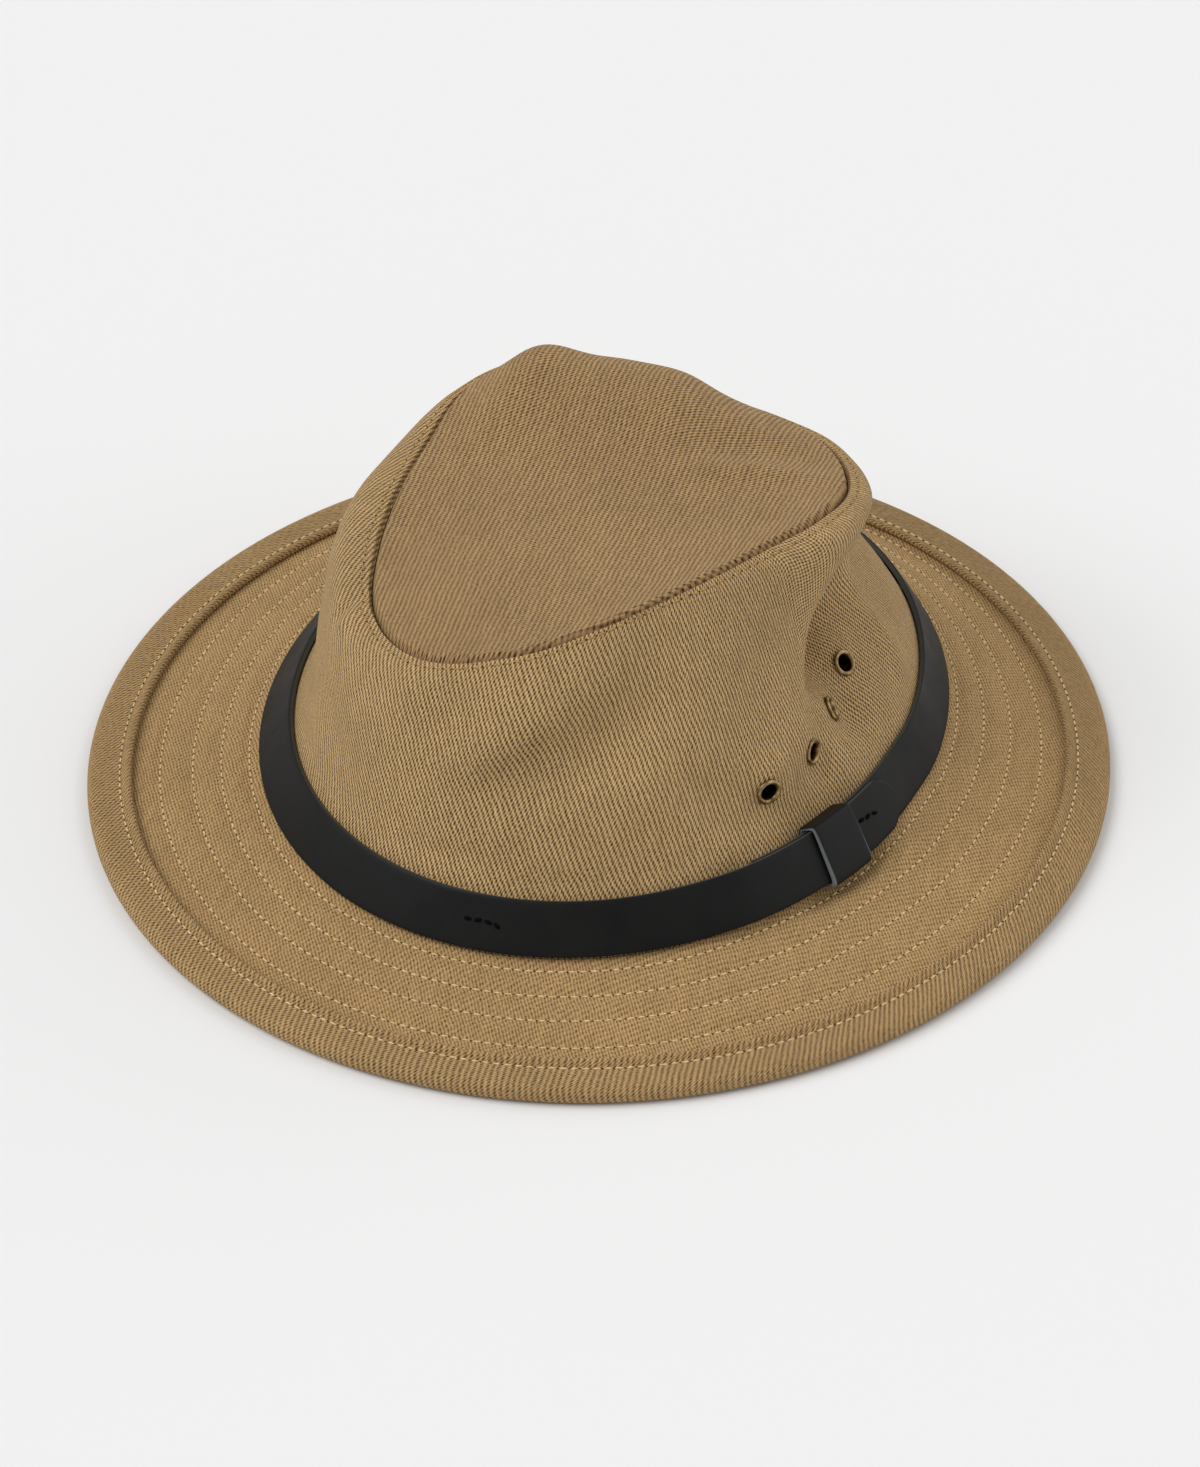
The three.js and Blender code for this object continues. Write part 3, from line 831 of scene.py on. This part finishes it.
def leather(name, colour, worn, edge, raw):
    """Black leather: a dull polish over a fine grain, rubbed greyer in places. Past the edge, a
    length along the flat hide, it is cut, and shows as a paler, fibrous line."""
    material = blank(name)
    place = add(material, "TexCoord").outputs["Object"]
    # Pores of 0.9 mm, on a grain of some 3 mm. Real pores are finer than the picture can hold.
    pores = {"Vector": place, "Scale": 1100}
    cells = add(material, "TexVoronoi", pores, feature="SMOOTH_F1").outputs[0]
    pore_share = -0.5
    grain = clouds(material, place, scale=300, detail=6, roughness=0.65)[0]
    height = reckon(material, "MULTIPLY_ADD", cells, pore_share, grain)
    rub = clouds(material, place, scale=60, detail=5, roughness=0.6)[0]
    share = ranged(material, rub, start=0.4, end=0.75, low=0, high=1)
    face = mixed(material, share, linear(colour), linear(worn))
    flat = add(material, "UVMap", uv_map="flat").outputs[0]
    reach = reckon(material, "ABSOLUTE", add(material, "SeparateXYZ", {0: flat}).outputs[0])
    cut = ranged(material, reach, start=edge - 0.5, end=edge, low=0, high=1)
    return surface(material, {
        "Base Color": mixed(material, cut, face, linear(raw)),
        "Roughness": ranged(material, rub, start=0.3, end=0.7, low=0.42, high=0.6),
        "IOR": 1.5,
        "Specular IOR Level": 0.2,
        "Normal": relief(material, height, strength=0.4, deep=0.12),
    })


# Nearly black, with soft grey highlights along the top and a dull grey line at its edges.
strap_leather = leather("vegetable_tanned_leather", "#0c0c0c", "#151514", 7.4, "#464743")


def blunt(value):
    """Squares off a sine or cosine, for a section with small rounded corners."""
    return math.copysign(abs(value) ** BLUNT, value)


strap_turns = stepped(((STRAP["start"], STRAP_ROWS["long"]),), STRAP["end"] - STRAP["tail"])
for k in range(1, STRAP_ROWS["tail"] + 1):
    quarter = math.pi / 2 * k / STRAP_ROWS["tail"]
    strap_turns.append(STRAP["end"] - STRAP["tail"] * math.cos(quarter))


def strap_place(turn, row):
    """The strap is swept along its length: rows run from its start to its tail, and turns go round
    its section. The first and last rows close its ends."""
    here = strap_turns[min(max(row - 1, 0), len(strap_turns) - 1)]
    late = max(0, 1 - (STRAP["end"] - here) / STRAP["tail"])
    half = max(STRAP["width"] / 2 * math.sqrt(max(0, 1 - late ** 2)), STRAP["tip"])
    closed = 0 < row <= len(strap_turns)
    a = math.radians(turn)
    across = blunt(math.sin(a)) * half if closed else 0
    raised = blunt(math.cos(a)) * STRAP["thick"] / 2 if closed else 0
    lift = -LAP["sink"] * plateau(here, LAP)
    if here > 360:
        lap = smooth((here - 360 - LAP["from"]) / LAP["ramp"] + 1)
        lift = (STRAP["thick"] + STRAP["gap"] - LAP["sink"]) * lap
    climb = STRAP["rise"] + STRAP["width"] / 2 + across
    return foot_point(here, climb, STRAP["gap"] + lift + STRAP["thick"] / 2 + raised)


strap_shape = swept(STRAP_COLUMNS, len(strap_turns) + 2, strap_place, strip_flat, closed=False)
strap = piece_of("leather_strap", strap_shape, strap_leather)
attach(strap, "root")
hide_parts("hat_band")

# Strap tacks
# Two groups of four short stitches in black waxed thread hold the strap to the hat, one at its
# front and one near its tail. They are sewn by hand, so no two slant alike.
TACK = {"long": 2.3, "wide": 1.1, "high": 0.7}
# Each tack's turn and height up the strap, and the slant of its thread.
TACKS = (
    (0.9, 8.1, 0), (2.4, 8.2, 15), (3.9, 8.1, -15), (5.2, 7.5, -35),
    (426.6, 9.4, 20), (428.4, 9.3, 0), (430.1, 8.9, 15), (431.9, 8.3, -25),
)
# Blacker and duller than the leather, it shows as small dark knots.
black_thread = plain("waxed_linen_thread", "#040404", 0.9)
tack_bead = bead(TACK, 0)
tack_shape = bmesh.new()
for turn, climb, slant in TACKS:
    lift = STRAP["thick"] + STRAP["gap"] - LAP["sink"] if turn > 360 else 0
    out = STRAP["gap"] + lift + STRAP["thick"]
    spot = foot_point(turn, climb, out)
    around = (foot_point(turn + ASIDE["thread"], climb, out) - spot).normalized()
    up = (foot_point(turn, climb + ASIDE["thread"], out) - spot).normalized()
    a = math.radians(slant)
    stitch(tack_shape, tack_bead, spot, math.cos(a) * around + math.sin(a) * up, around.cross(up))
tacks = piece_of("strap_tacks", tack_shape, black_thread)
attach(tacks, "root")

# Keeper
# A flat loop of the same black leather holds the tail down. Its ends are sewn together behind the
# strap, and its cut edges show.
# Each pair is for the loop's outer face and for its inner one.
KEEPER = {
    "middle": 62,
    "half": 4.5,
    "behind": (-2.1, -1.1),
    "front": (4.8, 3.4),
    "bottom": (-0.55, 0.45),
    "top": (16.05, 15.05),
}
KEEPER_SECTION = 20
KEEPER_COLUMNS = 96
# The same black, with broad cut edges that stand out as blue-grey lines down both sides.
keeper_leather = leather("vegetable_tanned_leather_loop", "#0e0e0e", "#161616", 7.2, "#767d80")


def keeper_place(turn, row):
    a = math.radians(turn)
    b = math.radians(360 * row / KEEPER_SECTION)
    depth = (1 - blunt(math.cos(b))) / 2
    pairs = (KEEPER["behind"], KEEPER["front"], KEEPER["bottom"], KEEPER["top"])
    behind, front, bottom, top = [outer + (inner - outer) * depth for outer, inner in pairs]
    out = (behind + front) / 2 + (front - behind) / 2 * blunt(math.cos(a))
    climb = (bottom + top) / 2 + (top - bottom) / 2 * blunt(math.sin(a))
    here = KEEPER["middle"] + KEEPER["half"] * blunt(math.sin(b))
    return foot_point(here, climb, out)


def loop_flat(point, turn, along, across):
    """Like strip_flat, but the loop's edges lie at the ends of its rows."""
    return across, along


keeper_shape = swept(KEEPER_COLUMNS, KEEPER_SECTION, keeper_place, loop_flat)
keeper = piece_of("leather_keeper", keeper_shape, keeper_leather)
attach(keeper, "root")
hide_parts("band_keeper")

# Vent eyelets
# Rings rolled from thin brass line the vent holes and let air through. Each was pressed through the
# cloth, and its barrel was turned over inside.
RING_COLUMNS = 40
# Each point's distance from the middle of the hole, and its height off the cloth.
EYELET_OUTLINE = (
    (2.1, -2.4), (2.5, -2.55), (2.95, -2.35), (2.85, -2.0), (2.5, -1.9), (2.45, -1.0), (2.45, 0.1),
    (2.9, 0.2), (3.3, 0.25), (3.42, 0.45), (3.3, 0.72), (2.98, 0.9), (2.6, 0.84), (2.28, 0.6),
    (2.12, 0.2), (2.1, -1.0),
)
# A dull gold with brown tarnish, still bright where the roll meets the light.
brass = blank("aged_brass_rolled")
place = add(brass, "TexCoord").outputs["Object"]
tarnish = clouds(brass, place, scale=500, detail=4)[0]
bare = ranged(brass, tarnish, start=0.35, end=0.65, low=0, high=1)
colour = mixed(brass, bare, linear("#6b5838"), linear("#ab9267"))
surface(brass, {"Base Color": colour, "Metallic": 1, "Roughness": 0.3})


def ring_place(turn, row):
    a = math.radians(turn)
    reach, height = EYELET_OUTLINE[row]
    return Vector((reach * math.sin(a), -reach * math.cos(a), height))


for name, stand in vent_frames.items():
    ring_shape = swept(RING_COLUMNS, len(EYELET_OUTLINE), ring_place, strip_flat)
    bmesh.ops.transform(ring_shape, matrix=stand, verts=ring_shape.verts)
    ring = piece_of("brass_vent_" + name, ring_shape, brass)
    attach(ring, "root")
    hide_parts("eyelet_" + name)

# Floor, light and camera
# A plain pale table under an even sky. A large soft lamp stands at the hat's right front, and a
# broader, weaker one at its left rear.
FLOOR = {"half": 4000, "drop": 0.2}
floor_shape = bmesh.new()
bmesh.ops.create_grid(floor_shape, x_segments=1, y_segments=1, size=FLOOR["half"] * MM,
                      matrix=Matrix.Translation((0, 0, -FLOOR["drop"] * MM)))
# A nearly white, matt board that shows nothing but the hat's soft shadow.
pale = blank("matt_painted_board")
surface(pale, {"Base Color": linear("#ededed"), "Roughness": 0.9, "Specular IOR Level": 0.1})
floor = piece_of("floor", floor_shape, pale)

SKY = 0.4
LAMPS = {
    "main": {"strength": 1.85, "soft": 50, "azimuth": -58, "height": 50},
    "fill": {"strength": 1.35, "soft": 90, "azimuth": 125, "height": 25},
}
world = bpy.data.worlds.new("even_sky")
world.use_nodes = True
world.node_tree.nodes["Background"].inputs["Color"].default_value = (1, 1, 1, 1)
world.node_tree.nodes["Background"].inputs["Strength"].default_value = SKY
bpy.context.scene.world = world
for name, values in LAMPS.items():
    lamp = bpy.data.objects.new("lamp_" + name, bpy.data.lights.new("lamp_" + name, "SUN"))
    lamp.data.energy = values["strength"]
    lamp.data.angle = math.radians(values["soft"])
    a = math.radians(values["azimuth"])
    e = math.radians(values["height"])
    lamp_from = Vector((math.sin(a) * math.cos(e), -math.cos(a) * math.cos(e), math.sin(e)))
    lamp.rotation_euler = lamp_from.to_track_quat("Z", "Y").to_euler()
    bpy.context.scene.collection.objects.link(lamp)

# Worked out from the ovals that the brim and the strap draw in the photo.
CAMERA = {
    "target": (0, 4.6, 40),
    "azimuth": 20.52,
    "height": 35.79,
    "distance": 1300,
    "lens": 123.67,
    "sensor": 36,
    "shift_x": -0.00426,
    "shift_y": -0.0739,
}
camera = bpy.data.objects.new("camera", bpy.data.cameras.new("camera"))
camera.data.lens = CAMERA["lens"]
camera.data.sensor_width = CAMERA["sensor"]
camera.data.shift_x = CAMERA["shift_x"]
camera.data.shift_y = CAMERA["shift_y"]
a = math.radians(CAMERA["azimuth"])
e = math.radians(CAMERA["height"])
back = Vector((math.sin(a) * math.cos(e), -math.cos(a) * math.cos(e), math.sin(e)))
camera.location = (Vector(CAMERA["target"]) + CAMERA["distance"] * back) * MM
camera.rotation_euler = (-back).to_track_quat("-Z", "Y").to_euler()
bpy.context.scene.collection.objects.link(camera)
bpy.context.scene.camera = camera
bpy.context.scene.view_settings.view_transform = "Standard"

# Brings the scene up to date
bpy.context.view_layer.update()
